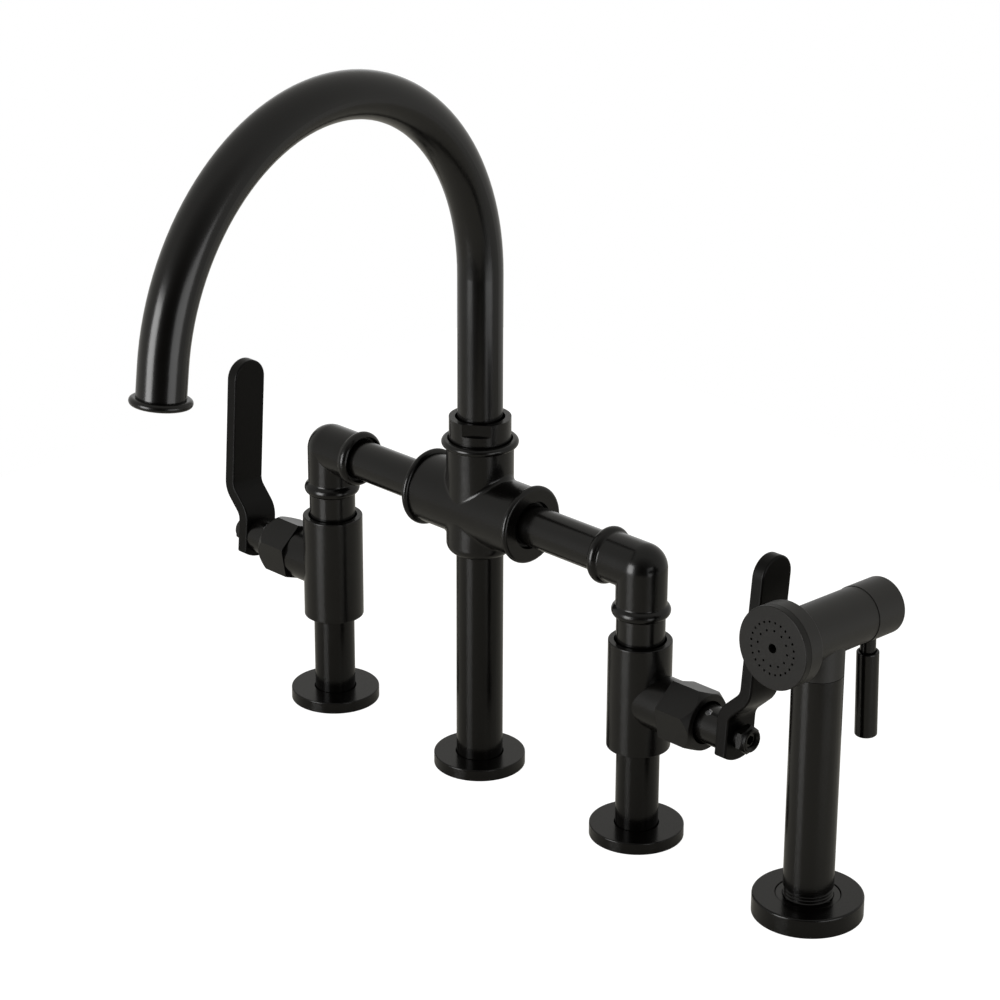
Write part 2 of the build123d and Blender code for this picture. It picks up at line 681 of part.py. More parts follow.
def lever_nut():
    """The small hexagon nut, turned round at both its ends, that clamps the lever."""
    low = HUB_END + LEVER_THICKNESS
    hex_start = low + END_NUT_FOOT_LENGTH
    hex_end = hex_start + END_NUT_HEX_LENGTH
    end = hex_end + END_NUT_ROUND_LENGTH
    radius = END_NUT_ROUND_DIAMETER / 2
    nut = hexagon(END_NUT_ACROSS_FLATS, hex_start, hex_end, END_NUT_TURN)
    nut = turned_face(nut, radius, hex_end, END_NUT_SLOPE)
    nut = turned_face(nut, radius, hex_start, END_NUT_SLOPE)
    barrel = rod(radius, low, end)
    nut += chamfer(edge_at(barrel, end, radius), END_NUT_BEVEL)
    bore = STUD_DIAMETER / 2 + FIT
    nut -= rod(bore, low - 1, end + 1)
    return out_from_leg(chamfer(edge_at(nut, end, bore), END_NUT_LEAD_IN))


# ---- spout ----

COLLAR_LOW = SPOUT_SEAT - COLLAR_BARREL_LENGTH
SHOULDER_LOW = SPOUT_SEAT + SLIP_WASHER_THICKNESS + RUNNING
SHOULDER_HIGH = SHOULDER_LOW + SHOULDER_WIDTH
COLLAR_TUBE_LOW = SHOULDER_HIGH - COLLAR_SOCKET_DEPTH
COLLAR_RING_LOW = COLLAR_LOW + COLLAR_RING_INSET


def swivelled(shape):
    """Turns the spout, made pointing at -Y, to where it rests."""
    return Rot(0, 0, SPOUT_SWIVEL) * shape


def outlet_place():
    """The end of the spout's arc: local +Z runs down along the last straight."""
    back = SPOUT_BEND_RADIUS * (1 - cos(radians(SPOUT_BEND_ANGLE)))
    rise = SPOUT_BEND_RADIUS * sin(radians(SPOUT_BEND_ANGLE))
    return Location((0, -back, SPOUT_RISE + rise), (SPOUT_BEND_ANGLE, 0, 0))


def spout_tube():
    """The gooseneck: a riser, one long round bend and a short straight to the outlet."""
    outer = SPOUT_DIAMETER / 2
    inner = outer - SPOUT_WALL
    tube = pipe(outer, inner, COLLAR_TUBE_LOW + FIT, SPOUT_RISE)
    ring = Pos(0, 0, SPOUT_RISE) * (Circle(outer) - Circle(inner))
    bend_axis = Axis((0, -SPOUT_BEND_RADIUS, SPOUT_RISE), (1, 0, 0))
    tube += revolve(ring, bend_axis, SPOUT_BEND_ANGLE)
    tube += outlet_place() * pipe(outer, inner, 0, SPOUT_DROP)
    return swivelled(tube)


def spout_collar():
    """The turned foot of the spout, which swivels in the cross under the spout nut."""
    barrel = rod(COLLAR_BARREL_DIAMETER / 2, COLLAR_LOW, SHOULDER_LOW)
    barrel += rod(SHOULDER_DIAMETER / 2, SHOULDER_LOW, SHOULDER_HIGH)
    barrel -= rod(COLLAR_BORE / 2, COLLAR_LOW - 1, SHOULDER_HIGH + 1)
    barrel -= rod(SPOUT_DIAMETER / 2 + FIT, COLLAR_TUBE_LOW, SHOULDER_HIGH + 1)
    return barrel - collar_ring_stack(COLLAR_RING_WIRE / 2 + FIT, COLLAR_BARREL_DIAMETER)


def collar_ring_stack(half_width, outer):
    """Plain rings at each seal of the collar, down to the bottom of their grooves."""
    inner = COLLAR_BARREL_DIAMETER / 2 - COLLAR_RING_WIRE
    stack = []
    for index in range(COLLAR_RINGS):
        middle = COLLAR_RING_LOW + index * COLLAR_RING_PITCH
        stack.append(pipe(outer, inner, middle - half_width, middle + half_width))
    return Compound(stack)


def spout_rings():
    """The rubber rings that seal the collar in the cross."""
    half = COLLAR_RING_WIRE / 2
    return [
        Pos(0, 0, COLLAR_RING_LOW + index * COLLAR_RING_PITCH)
        * Torus(COLLAR_BARREL_DIAMETER / 2 - half, half)
        for index in range(COLLAR_RINGS)
    ]


def slip_washer():
    """The plastic washer that the spout's shoulder turns on."""
    bore = COLLAR_BARREL_DIAMETER / 2 + GAP
    return pipe(SHOULDER_DIAMETER / 2, bore, SPOUT_SEAT, SPOUT_SEAT + SLIP_WASHER_THICKNESS)


def spout_nut():
    """The round nut that keeps the spout in the cross, with two flats for a spanner."""
    slab = Box(
        SPOUT_NUT_ACROSS_FLATS,
        2 * SPOUT_NUT_DIAMETER,
        SPOUT_NUT_FLATS,
        align=(Align.CENTER, Align.CENTER, Align.MIN),
    )
    body = rod(SPOUT_NUT_DIAMETER / 2, SPOUT_NUT_FLATS_LOW, SPOUT_NUT_HIGH)
    body = body & Pos(0, 0, SPOUT_NUT_FLATS_LOW) * Rot(0, 0, SPOUT_NUT_TURN) * slab
    body += rod(SPOUT_NUT_DIAMETER / 2, SPOUT_NUT_LEDGE + FIT, SPOUT_NUT_FLATS_LOW)
    body += rod(NUT_THREAD_DIAMETER / 2, SHOULDER_HIGH + GAP, SPOUT_NUT_FLATS_LOW)
    return body - rod(SPOUT_NUT_BORE / 2, SPOUT_SEAT, SPOUT_NUT_HIGH + 1)


# ---- aerator ----

AERATOR_TOP = SPOUT_DROP - AERATOR_OVERLAP
SLEEVE_RADIUS = SPOUT_DIAMETER / 2 - SPOUT_WALL - FIT
INSERT_RADIUS = SLEEVE_RADIUS - AERATOR_SLEEVE_WALL
SLEEVE_TOP = SPOUT_DROP - AERATOR_SLEEVE_LENGTH


def at_outlet(shape):
    """Places a shape made on the Z axis, where +Z runs down and out of the spout."""
    return swivelled(outlet_place() * shape)


def aerator_shell():
    """The beaded ring at the spout's end, with the sleeve that screws inside the tube."""
    end = AERATOR_TOP + AERATOR_WIDTH
    shell = rim(AERATOR_DIAMETER / 2, AERATOR_WIDTH, AERATOR_TOP, INSERT_RADIUS)
    shell -= pipe(SPOUT_DIAMETER / 2 + FIT, SLEEVE_RADIUS, AERATOR_TOP - 1, SPOUT_DROP + FIT)
    shell += pipe(SLEEVE_RADIUS, INSERT_RADIUS, SLEEVE_TOP, end - AERATOR_STEP)
    return at_outlet(shell - rod(INSERT_RADIUS + AERATOR_STEP, end - AERATOR_STEP, end + 1))


def aerator_insert():
    """The plastic core of the aerator, drilled with a grid of fine holes."""
    end = AERATOR_TOP + AERATOR_WIDTH - AERATOR_STEP
    low = end - AERATOR_INSERT_LENGTH
    core = rod(INSERT_RADIUS - FIT, low, end)
    steps = int(INSERT_RADIUS // AERATOR_HOLE_PITCH)
    places = []
    for column in range(-steps, steps + 1):
        for row in range(-steps, steps + 1):
            x = column * AERATOR_HOLE_PITCH
            y = row * AERATOR_HOLE_PITCH
            if sqrt(x * x + y * y) + AERATOR_HOLE < INSERT_RADIUS:
                places.append(Pos(x, y, 0) * rod(AERATOR_HOLE / 2, low - 1, end + 1))
    return at_outlet(core - places)


def aerator_washer():
    """The flat rubber washer above the aerator's sleeve."""
    return at_outlet(pipe(SLEEVE_RADIUS, INSERT_RADIUS, SLEEVE_TOP - AERATOR_WASHER_THICKNESS, SLEEVE_TOP))


# ---- sprayer base and guide ----


def at_sprayer(shape):
    """Places a shape made on the Z axis under the hand spray."""
    return Pos(SPRAYER_X, 0, 0) * shape


def sprayer_base():
    """The thick round base on the deck, bored for the guide that turns in it."""
    radius = BASE_DIAMETER / 2
    disc = rod(radius, 0, BASE_THICKNESS)
    disc = fillet(edge_at(disc, BASE_THICKNESS, radius), BASE_EDGE)
    disc -= rod(BASE_HOLE_DIAMETER / 2, -1, BASE_THICKNESS + 1)
    disc -= rod(GUIDE_DIAMETER / 2 + GUIDE_SEAM, BASE_LEDGE, BASE_THICKNESS + 1)
    return at_sprayer(disc - rod(radius - GASKET_RIM, -1, GASKET_THICKNESS))


def base_gasket():
    """The flat rubber ring under the sprayer's base."""
    ring = pipe(BASE_DIAMETER / 2 - GASKET_RIM - FIT, BASE_HOLE_DIAMETER / 2, 0, GASKET_THICKNESS)
    return at_sprayer(ring)


GUIDE_LOW = BASE_LEDGE + RUNNING
FOOT_LOW = GUIDE_LOW + GUIDE_LEDGE + RUNNING


def sprayer_guide():
    """The cup that the hand spray stands in, free to turn in the base."""
    high = BASE_THICKNESS - GUIDE_SINK
    radius = GUIDE_DIAMETER / 2
    cup = rod(radius, GUIDE_LOW, high)
    cup = fillet(edge_at(cup, high, radius), GUIDE_SINK)
    cup -= rod(GUIDE_HOLE_DIAMETER / 2, GUIDE_LOW - 1, high)
    bore = FOOT_DIAMETER / 2 + GUIDE_BORE_SLACK
    return at_sprayer(cup - rod(bore, GUIDE_LOW + GUIDE_LEDGE, high + 1))


# ---- hand spray: foot, handle and head ----


def thread_groove(radius, depth, width, height):
    """One V-shaped groove round a bar; width is its mouth at the bar's surface."""
    spare = 1 + 1 / depth
    outline = Polyline(
        (radius + 1, height - width / 2 * spare),
        (radius - depth, height),
        (radius + 1, height + width / 2 * spare),
        close=True,
    )
    return revolve(Plane.XZ * make_face(outline), Axis.Z)


def sprayer_foot():
    """The threaded foot of the handle, which takes the hose."""
    radius = FOOT_DIAMETER / 2
    foot = rod(radius, FOOT_LOW, HANDLE_LOW - FIT)
    foot += rod(HANDLE_BORE / 2 - FIT, FOOT_LOW, HANDLE_LOW + HANDLE_SPIGOT_LENGTH)
    foot -= rod(HOSE_THREAD_BORE / 2, FOOT_LOW - 1, FOOT_LOW + HOSE_THREAD_LENGTH)
    foot -= rod(HANDLE_WATERWAY / 2, FOOT_LOW, HANDLE_LOW + HANDLE_SPIGOT_LENGTH + 1)
    for index in range(FOOT_GROOVES):
        height = HANDLE_LOW - FIT - (index + 0.5) * FOOT_GROOVE_PITCH
        foot -= thread_groove(radius, FOOT_GROOVE_DEPTH, FOOT_GROOVE_PITCH * FOOT_GROOVE_SHARE, height)
    return at_sprayer(foot)


def sprayer_handle():
    """The straight tube that the hand holds."""
    return at_sprayer(pipe(HANDLE_DIAMETER / 2, HANDLE_BORE / 2, HANDLE_LOW, HANDLE_HIGH))


def at_head(shape):
    """Places a shape made in the head's frame: +Y to the rear, tipped up at the face."""
    return Location((SPRAYER_X, 0, HEAD_HEIGHT), (-HEAD_TILT, 0, 0)) * shape


DISC_FRONT = FACE_Y + FACE_PLATE_THICKNESS + FACE_SEAM
DISC_REAR = DISC_FRONT + DISC_WIDTH
CHAMBER_RADIUS = FACE_DIAMETER / 2 - DISC_WALL
HEAD_BORE = HEAD_DIAMETER / 2 - HEAD_WALL
WEB_REAR = WEB_FRONT + WEB_THICKNESS


def bore_y(radius, low, high):
    """A round bar along the head's axis."""
    return along_y(rod(radius, low, high))


def sprayer_head():
    """The tee of the hand spray: neck below, spray disc in front, open at the rear."""
    disc = rod(FACE_DIAMETER / 2, DISC_FRONT, DISC_REAR)
    disc = fillet(edge_at(disc, DISC_REAR, FACE_DIAMETER / 2), FACE_EDGE)
    shell = at_head(along_y(disc) + bore_y(HEAD_DIAMETER / 2, DISC_FRONT, REAR_SEAM_Y))
    neck_low = HANDLE_HIGH + HANDLE_SEAM
    neck = rod(HANDLE_DIAMETER / 2, neck_low, HEAD_HEIGHT)
    neck += rod(HANDLE_DIAMETER / 2 - SEAM_DEPTH, HANDLE_HIGH + FIT, neck_low)
    neck += rod(HANDLE_BORE / 2 - FIT, HANDLE_HIGH - HANDLE_SPIGOT_LENGTH, neck_low)
    shell += at_sprayer(neck)
    shell -= at_sprayer(rod(HANDLE_WATERWAY / 2, 0, HEAD_HEIGHT))
    shell -= at_head(bore_y(HEAD_BORE, WEB_REAR, REAR_SEAM_Y + 1))
    shell -= at_head(bore_y(HEAD_BORE, DISC_FRONT, WEB_FRONT))
    shell -= at_head(bore_y(CHAMBER_RADIUS, DISC_FRONT - 1, DISC_REAR - DISC_FLOOR))
    hole = bore_y(WEB_HOLE_DIAMETER / 2, WEB_FRONT - 1, WEB_REAR + 1)
    for index in range(WEB_HOLES):
        turn = Rot(0, index * 360 / WEB_HOLES, 0)
        shell -= at_head(turn * Pos(WEB_HOLE_RADIUS, 0, 0) * hole)
    return shell


def face_plate():
    """The round plate of spray holes that screws into the disc."""
    end = FACE_Y + FACE_PLATE_THICKNESS
    plate = rod(FACE_DIAMETER / 2, FACE_Y, end)
    plate = fillet(edge_at(plate, FACE_Y, FACE_DIAMETER / 2), FACE_EDGE)
    spigot = CHAMBER_RADIUS - FIT
    plate += pipe(spigot, spigot - FACE_SPIGOT_WALL, end, DISC_FRONT + FACE_SPIGOT_LENGTH)
    holes = [rod(JET_HOLE / 2, FACE_Y - 1, end + 1)]
    for count, ring in ((OUTER_HOLES, OUTER_HOLE_RADIUS), (INNER_HOLES, INNER_HOLE_RADIUS)):
        for index in range(count):
            turn = Rot(0, 0, HOLE_PHASE + index * 360 / count)
            holes.append(turn * Pos(ring, 0, 0) * rod(SPRAY_HOLE / 2, FACE_Y - 1, end + 1))
    return at_head(along_y(plate - holes))


# ---- trigger ----

PIVOT_Y = TRIGGER_Y - (CAP_DIAMETER / 2 + PIVOT_RISE) * tan(radians(TRIGGER_LEAN))


def at_trigger(shape):
    """Places a shape made on the Z axis so that +Z runs down the trigger from its pivot."""
    return at_head(Location((0, PIVOT_Y, PIVOT_RISE), (180 + TRIGGER_LEAN, 0, 0)) * shape)


def trigger_stem():
    """The thin stem of the trigger, hung from a pin in the rear cap."""
    low = ROD_TOP + PIVOT_RISE + STEM_ENTRY
    stem = rod(STEM_DIAMETER / 2, -STEM_CREST, low)
    stem = fillet(edge_at(stem, -STEM_CREST, STEM_DIAMETER / 2), ROD_EDGE)
    across = along_x(rod(PIVOT_PIN_DIAMETER / 2 + RUNNING, -STEM_DIAMETER, STEM_DIAMETER))
    return at_trigger(stem - across)


def trigger_rod():
    """The grip of the trigger, a bar drilled for its stem and recessed round it."""
    low = ROD_TOP + PIVOT_RISE
    radius = ROD_DIAMETER / 2
    grip = rod(radius, low, low + ROD_LENGTH)
    grip = fillet(edge_at(grip, low, radius) + edge_at(grip, low + ROD_LENGTH, radius), ROD_EDGE)
    grip -= rod(STEM_DIAMETER / 2 + FIT, low - 1, low + STEM_ENTRY + FIT)
    grip -= rod(STEM_DIAMETER / 2 + STEM_RECESS_WIDTH, low - 1, low + STEM_RECESS_DEPTH)
    return at_trigger(grip)


def pin_bore(slack, start, end):
    """The line of the trigger's pin, along X through its pivot."""
    return Pos(0, PIVOT_Y, PIVOT_RISE) * along_x(rod(PIVOT_PIN_DIAMETER / 2 + slack, start, end))


def pin_start():
    """How far out the pin's end lies, just under the cap's round side."""
    radius = CAP_DIAMETER / 2
    return PIVOT_PIN_INSET - sqrt(radius * radius - PIVOT_RISE * PIVOT_RISE)


def trigger_pin():
    """The pin that the trigger turns on."""
    return at_head(pin_bore(0, pin_start(), pin_start() + PIVOT_PIN_LENGTH))


def rear_cap():
    """The rear end of the head, solid but for the slot that the trigger swings in."""
    front = REAR_SEAM_Y + CAP_SEAM
    cap = rod(CAP_DIAMETER / 2, front, REAR_Y)
    cap = fillet(edge_at(cap, REAR_Y, CAP_DIAMETER / 2), REAR_EDGE)
    cap += rod(HEAD_BORE - FIT, REAR_SEAM_Y - CAP_SPIGOT_LENGTH, front)
    cap -= rod(PLUNGER_DIAMETER / 2 + GAP, REAR_SEAM_Y - CAP_SPIGOT_LENGTH - 1, PIVOT_Y)
    cap = along_y(cap)
    cap -= pin_bore(FIT, -CAP_DIAMETER, pin_start() + PIVOT_PIN_LENGTH + FIT)
    half_stem = STEM_DIAMETER / 2
    drop = CAP_DIAMETER / 2 + PIVOT_RISE
    swing = drop * tan(radians(TRIGGER_TRAVEL - TRIGGER_LEAN))
    slot_front = PIVOT_Y - swing - half_stem - STEM_SLOT_SLACK
    slot_rear = TRIGGER_Y + half_stem + STEM_SLOT_SLACK
    slot_top = PIVOT_RISE + STEM_CREST + STEM_SLOT_SLACK
    slot = Box(
        STEM_DIAMETER + 2 * STEM_SLOT_SLACK,
        slot_rear - slot_front,
        slot_top + CAP_DIAMETER,
        align=(Align.CENTER, Align.MIN, Align.MAX),
    )
    return at_head(cap - Pos(0, slot_front, slot_top) * slot)


# ---- spray valve ----

POPPET_REAR = VALVE_SEAT_Y - RUNNING
POPPET_FRONT = POPPET_REAR - POPPET_LENGTH


def valve_block():
    """The brass block in the head: water comes up its groove and out past the poppet."""
    front = WEB_REAR + FIT
    block = rod(HEAD_BORE - FIT, front, BLOCK_REAR)
    groove_high = GALLERY_Y + GALLERY_DIAMETER / 2 + GALLERY_SPARE
    block -= pipe(HEAD_DIAMETER, BLOCK_GROOVE_DIAMETER / 2, groove_high - BLOCK_GROOVE_LENGTH, groove_high)
    block -= rod(POPPET_CHAMBER_DIAMETER / 2, front - 1, VALVE_SEAT_Y)
    block -= rod(SEAT_BORE / 2, front, GALLERY_END)
    block -= rod(PLUNGER_DIAMETER / 2 + RUNNING, GALLERY_END - 1, BLOCK_REAR + 1)
    block = along_y(block)
    return at_head(block - Pos(0, GALLERY_Y, 0) * rod(GALLERY_DIAMETER / 2, -HEAD_DIAMETER, 0))


def plunger_end():
    """Where the plunger stops, just in front of the resting stem."""
    drop = CAP_DIAMETER / 2 + PLUNGER_DIAMETER / 2
    axis = TRIGGER_Y - drop * tan(radians(TRIGGER_LEAN))
    return axis - STEM_DIAMETER / 2 / cos(radians(TRIGGER_LEAN)) - RUNNING


def plunger():
    """The valve stem that the trigger pushes, with the poppet on its front end."""
    bar = rod(PLUNGER_DIAMETER / 2, POPPET_FRONT, plunger_end())
    bar += rod(POPPET_DIAMETER / 2, POPPET_FRONT, POPPET_REAR)
    outer = SPRING_DIAMETER / 2 + GAP
    inner = SPRING_DIAMETER / 2 - SPRING_WIRE - GAP
    bar -= pipe(outer, inner, POPPET_FRONT - 1, POPPET_FRONT + POPPET_RECESS)
    half = PLUNGER_RING_WIRE / 2
    groove = PLUNGER_DIAMETER / 2 - PLUNGER_GROOVE
    bar -= pipe(PLUNGER_DIAMETER, groove, PLUNGER_RING_Y - half, PLUNGER_RING_Y + half)
    return at_head(along_y(bar))


def plunger_ring():
    """The rubber ring in the plunger's groove."""
    half = PLUNGER_RING_WIRE / 2 - FIT
    groove = PLUNGER_DIAMETER / 2 - PLUNGER_GROOVE
    ring = pipe(PLUNGER_DIAMETER / 2, groove, PLUNGER_RING_Y - half, PLUNGER_RING_Y + half)
    return at_head(along_y(ring))


def plunger_spring():
    """The coil spring between the head's web and the poppet."""
    low = WEB_REAR + SPRING_WIRE / 2
    high = POPPET_FRONT + POPPET_RECESS - TRAVEL - SPRING_SLACK - SPRING_WIRE / 2
    radius = (SPRING_DIAMETER - SPRING_WIRE) / 2
    quarters = 4 * SPRING_TURNS
    steps = [index / 2 for index in range(2 * quarters + 1)]
    points = [
        Vector(radius * cos(step * pi / 2), radius * sin(step * pi / 2), low + (high - low) * step / quarters)
        for step in steps
    ]
    arcs = [ThreePointArc(*points[2 * index : 2 * index + 3]) for index in range(quarters)]
    path = Wire(arcs)
    section = Plane(origin=path @ 0, z_dir=path % 0) * Circle(SPRING_WIRE / 2)
    return at_head(along_y(sweep(section, path)))


def for_each_side():
    """The pieces that stand on both sides, the left ones mirrored from the right."""
    makers = {
        "bridge_tube": bridge_tube,
        "elbow": elbow,
        "nipple": nipple,
        "valve_body": valve_body,
        "valve_boss": valve_boss,
        "bonnet_nut": bonnet_nut,
        "spindle": spindle,
        "spindle_o_ring": spindle_ring,
        "moving_disc": moving_disc,
        "handle_hub": hub,
        "set_screw": set_screw,
        "lever": lever,
        "lever_nut": lever_nut,
    }
    pieces = {}
    for name, make in makers.items():
        right = make()
        pieces[f"right_{name}"] = right
        pieces[f"left_{name}"] = mirrored(right)
    return pieces


def both_sides(right):
    """A right-hand piece with its left-hand twin, as one group."""
    return Compound([right, mirrored(right)])


def all_pieces():
    """Every piece of the faucet under its own name."""
    leg_top = VALVE_BODY_LOW + LEG_SOCKET_DEPTH
    leg = Pos(LEG_X, 0, 0) * post(LEG_DIAMETER, LEG_BORE, LEG_THREAD_BORE, leg_top)
    leg_flange = Pos(LEG_X, 0, 0) * flange(LEG_DIAMETER)
    leg_gasket = Pos(LEG_X, 0, 0) * gasket(LEG_DIAMETER)
    pieces = for_each_side()
    pieces["right_leg_post"] = leg
    pieces["left_leg_post"] = mirrored(leg)
    pieces["right_flange"] = leg_flange
    pieces["left_flange"] = mirrored(leg_flange)
    pieces["centre_post"] = post(POST_DIAMETER, POST_BORE, POST_THREAD_BORE, CROSS_LOW + POST_SOCKET_DEPTH)
    pieces["centre_flange"] = flange(POST_DIAMETER)
    gaskets = [leg_gasket, mirrored(leg_gasket), gasket(POST_DIAMETER), base_gasket()]
    pieces["deck_gaskets"] = Compound(gaskets)
    pieces["centre_cross"] = centre_cross()
    pieces["bridge_o_rings"] = Compound(bridge_rings())
    pieces["cartridge_shells"] = both_sides(cartridge_shell())
    pieces["fixed_discs"] = both_sides(fixed_disc())
    pieces["cartridge_seats"] = both_sides(cartridge_seat())
    pieces["spout_nut"] = spout_nut()
    pieces["slip_washer"] = slip_washer()
    pieces["spout_tube"] = spout_tube()
    pieces["spout_collar"] = spout_collar()
    pieces["spout_o_rings"] = Compound(spout_rings())
    pieces["aerator_shell"] = aerator_shell()
    pieces["aerator_insert"] = aerator_insert()
    pieces["aerator_washer"] = aerator_washer()
    pieces["sprayer_base"] = sprayer_base()
    pieces["sprayer_guide"] = sprayer_guide()
    pieces["sprayer_foot"] = sprayer_foot()
    pieces["sprayer_handle"] = sprayer_handle()
    pieces["sprayer_head"] = sprayer_head()
    pieces["sprayer_face_plate"] = face_plate()
    pieces["sprayer_rear_cap"] = rear_cap()
    pieces["trigger_stem"] = trigger_stem()
    pieces["trigger_rod"] = trigger_rod()
    pieces["trigger_pin"] = trigger_pin()
    pieces["spray_valve_block"] = valve_block()
    pieces["spray_plunger"] = plunger()
    pieces["plunger_o_ring"] = plunger_ring()
    pieces["plunger_spring"] = plunger_spring()
    return pieces


os.makedirs("parts", exist_ok=True)
for node, shape in all_pieces().items():
    export_step(shape, f"parts/{node}.step")
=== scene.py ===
# %% [markdown]
# # A matte black bridge faucet
# Two valves and a bridge feed a gooseneck spout, and a hand spray stands beside them.
# Every piece arrives from the CAD model at its real size, so this lesson is about finish
# and light: what makes black powder coat look like metal and not like a hole.

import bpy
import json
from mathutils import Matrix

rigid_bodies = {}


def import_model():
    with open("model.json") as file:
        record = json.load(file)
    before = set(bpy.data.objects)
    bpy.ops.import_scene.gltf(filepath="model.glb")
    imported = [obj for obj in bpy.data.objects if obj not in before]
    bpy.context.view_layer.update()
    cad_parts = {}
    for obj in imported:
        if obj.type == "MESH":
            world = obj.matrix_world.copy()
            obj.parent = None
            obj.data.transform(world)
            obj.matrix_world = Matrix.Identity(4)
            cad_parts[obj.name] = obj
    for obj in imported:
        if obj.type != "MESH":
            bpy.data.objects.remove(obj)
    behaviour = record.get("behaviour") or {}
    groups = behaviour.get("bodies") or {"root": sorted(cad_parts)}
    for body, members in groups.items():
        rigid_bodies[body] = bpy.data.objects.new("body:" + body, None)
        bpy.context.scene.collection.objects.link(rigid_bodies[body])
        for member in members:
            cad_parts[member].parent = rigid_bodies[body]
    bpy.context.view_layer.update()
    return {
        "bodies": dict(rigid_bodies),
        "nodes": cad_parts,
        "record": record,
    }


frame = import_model()
print("nodes:", len(frame["nodes"]), "bodies:", ", ".join(frame["bodies"]))

# %% Tools of the trade
import json
from math import cos, pi, radians, sin

import bpy
from mathutils import Matrix, Vector

scene = bpy.context.scene

# %% [markdown]
# ## Camera
# The photograph was taken with a long lens from a little above, so the uprights stay
# almost parallel. A camera can be dragged about until the view looks right, but then
# nobody can say where it stands. So this one is placed the way a photographer would put
# it: which way round the object, how far above it, how far off, and with which lens.
# The lens and the sensor are in millimetres, and all other lengths are in metres.

# %% Camera
AZIMUTH = radians(44.717)
ELEVATION = radians(22.445)
ROLL = radians(0.234)
DISTANCE = 1.50344
LENS = 117.85
SENSOR = 36.0
CLIP_END = 20.0
AIM = Vector((0.013021, 0.0, 0.138506))


def make_camera():
    """A camera on a sphere round the aim point, looking in."""
    back = Vector((sin(AZIMUTH) * cos(ELEVATION), -cos(AZIMUTH) * cos(ELEVATION), sin(ELEVATION)))
    level = Vector((cos(AZIMUTH), sin(AZIMUTH), 0.0))
    upright = back.cross(level)
    right = level * cos(ROLL) + upright * sin(ROLL)
    up = upright * cos(ROLL) - level * sin(ROLL)
    camera = bpy.data.objects.new("camera", bpy.data.cameras.new("camera"))
    camera.data.lens = LENS
    camera.data.sensor_width = SENSOR
    camera.data.clip_end = CLIP_END
    place = AIM + back * DISTANCE
    turn = Matrix((right, up, back)).transposed().to_4x4()
    camera.matrix_world = Matrix.Translation(place) @ turn
    scene.collection.objects.link(camera)
    scene.camera = camera
    return camera


camera = make_camera()
print("camera at", [round(x, 3) for x in camera.matrix_world.translation])

# %% [markdown]
# ## Node helpers
# Each finish is a small tree of shader nodes. A few helpers keep the trees readable: they
# add a node, join two sockets, and turn a noise into a range of values, a colour or a
# relief. A picture of a surface could be wrapped round each piece, but it would show
# seams. A noise has none, and here it is read in metres, so grain has one real size.
# The Mix node has sockets for several kinds of value under the same names, so the ones
# for colours are picked by their numbers.

# %% Node helpers
NOISE_LOW = 0.3
NOISE_HIGH = 0.7
FACTOR = 0
FIRST_COLOUR = 6
SECOND_COLOUR = 7
MIXED_COLOUR = 2


def opaque(colour):
    """A colour with full alpha, as sockets take it."""
    return (*colour, 1.0)


class Tree:
    """The node tree of a material or a world, with short names for what is done most."""

    def __init__(self, owner):
        owner.use_nodes = True
        self.nodes = owner.node_tree.nodes
        self.links = owner.node_tree.links
        self.nodes.clear()
        self.spaces = self.add("ShaderNodeTexCoord").outputs

    def add(self, kind, **settings):
        """A node of one kind; a setting is a property, or an input where it names one."""
        node = self.nodes.new(kind)
        for name, value in settings.items():
            if hasattr(node, name):
                setattr(node, name, value)
            else:
                node.inputs[name].default_value = value
        return node

    def join(self, source, node, socket):
        """Feeds an output into an input, which is given by its name or number."""
        self.links.new(source, node.inputs[socket])

    def noise(self, size, detail=2.0):
        """A noise whose blobs are about as wide as size, in metres."""
        node = self.add("ShaderNodeTexNoise", Scale=1.0 / size, Detail=detail)
        self.join(self.spaces["Object"], node, "Vector")
        return node.outputs["Fac"]

    def spread(self, source, low, high, start=NOISE_LOW, end=NOISE_HIGH):
        """Maps start and end, which most of a noise lies between, to low and high."""
        node = self.add("ShaderNodeMapRange")
        self.join(source, node, "Value")
        for name, value in (("From Min", start), ("From Max", end), ("To Min", low), ("To Max", high)):
            node.inputs[name].default_value = value
        return node.outputs["Result"]

    def vary(self, source, middle, span):
        """A value that strays from its middle by up to span."""
        return self.spread(source, middle - span, middle + span)

    def tint(self, source, dark, light):
        """A colour between two, picked by a value."""
        node = self.add("ShaderNodeMix", data_type="RGBA")
        self.join(source, node, FACTOR)
        node.inputs[FIRST_COLOUR].default_value = opaque(dark)
        node.inputs[SECOND_COLOUR].default_value = opaque(light)
        return node.outputs[MIXED_COLOUR]

    def bump(self, source, height, under=None):
        """Relief of a given height, in metres, over any relief under it."""
        node = self.add("ShaderNodeBump", Distance=height)
        self.join(source, node, "Height")
        if under is not None:
            self.join(under, node, "Normal")
        return node.outputs["Normal"]

    def surface(self, shader, output="ShaderNodeOutputMaterial"):
        """Ends the tree in its output node."""
        self.join(shader, self.add(output), "Surface")


def new_material(name):
    """An empty material and its tree."""
    material = bpy.data.materials.new(name)
    return material, Tree(material)


# %% [markdown]
# ## Black powder coat
# Powder is sprayed on dry and melts in an oven, so the film is never quite flat: it has a
# fine grain where the grains fused, and a long, low waviness under it. A flat black paint
# would be the quick way to make it, but then the piece would have no form. So the colour
# is a warm, nearly empty black, and what shows is the mirror of the film on top. Its
# gloss, its grain and the strength of its mirror are settings of one recipe.

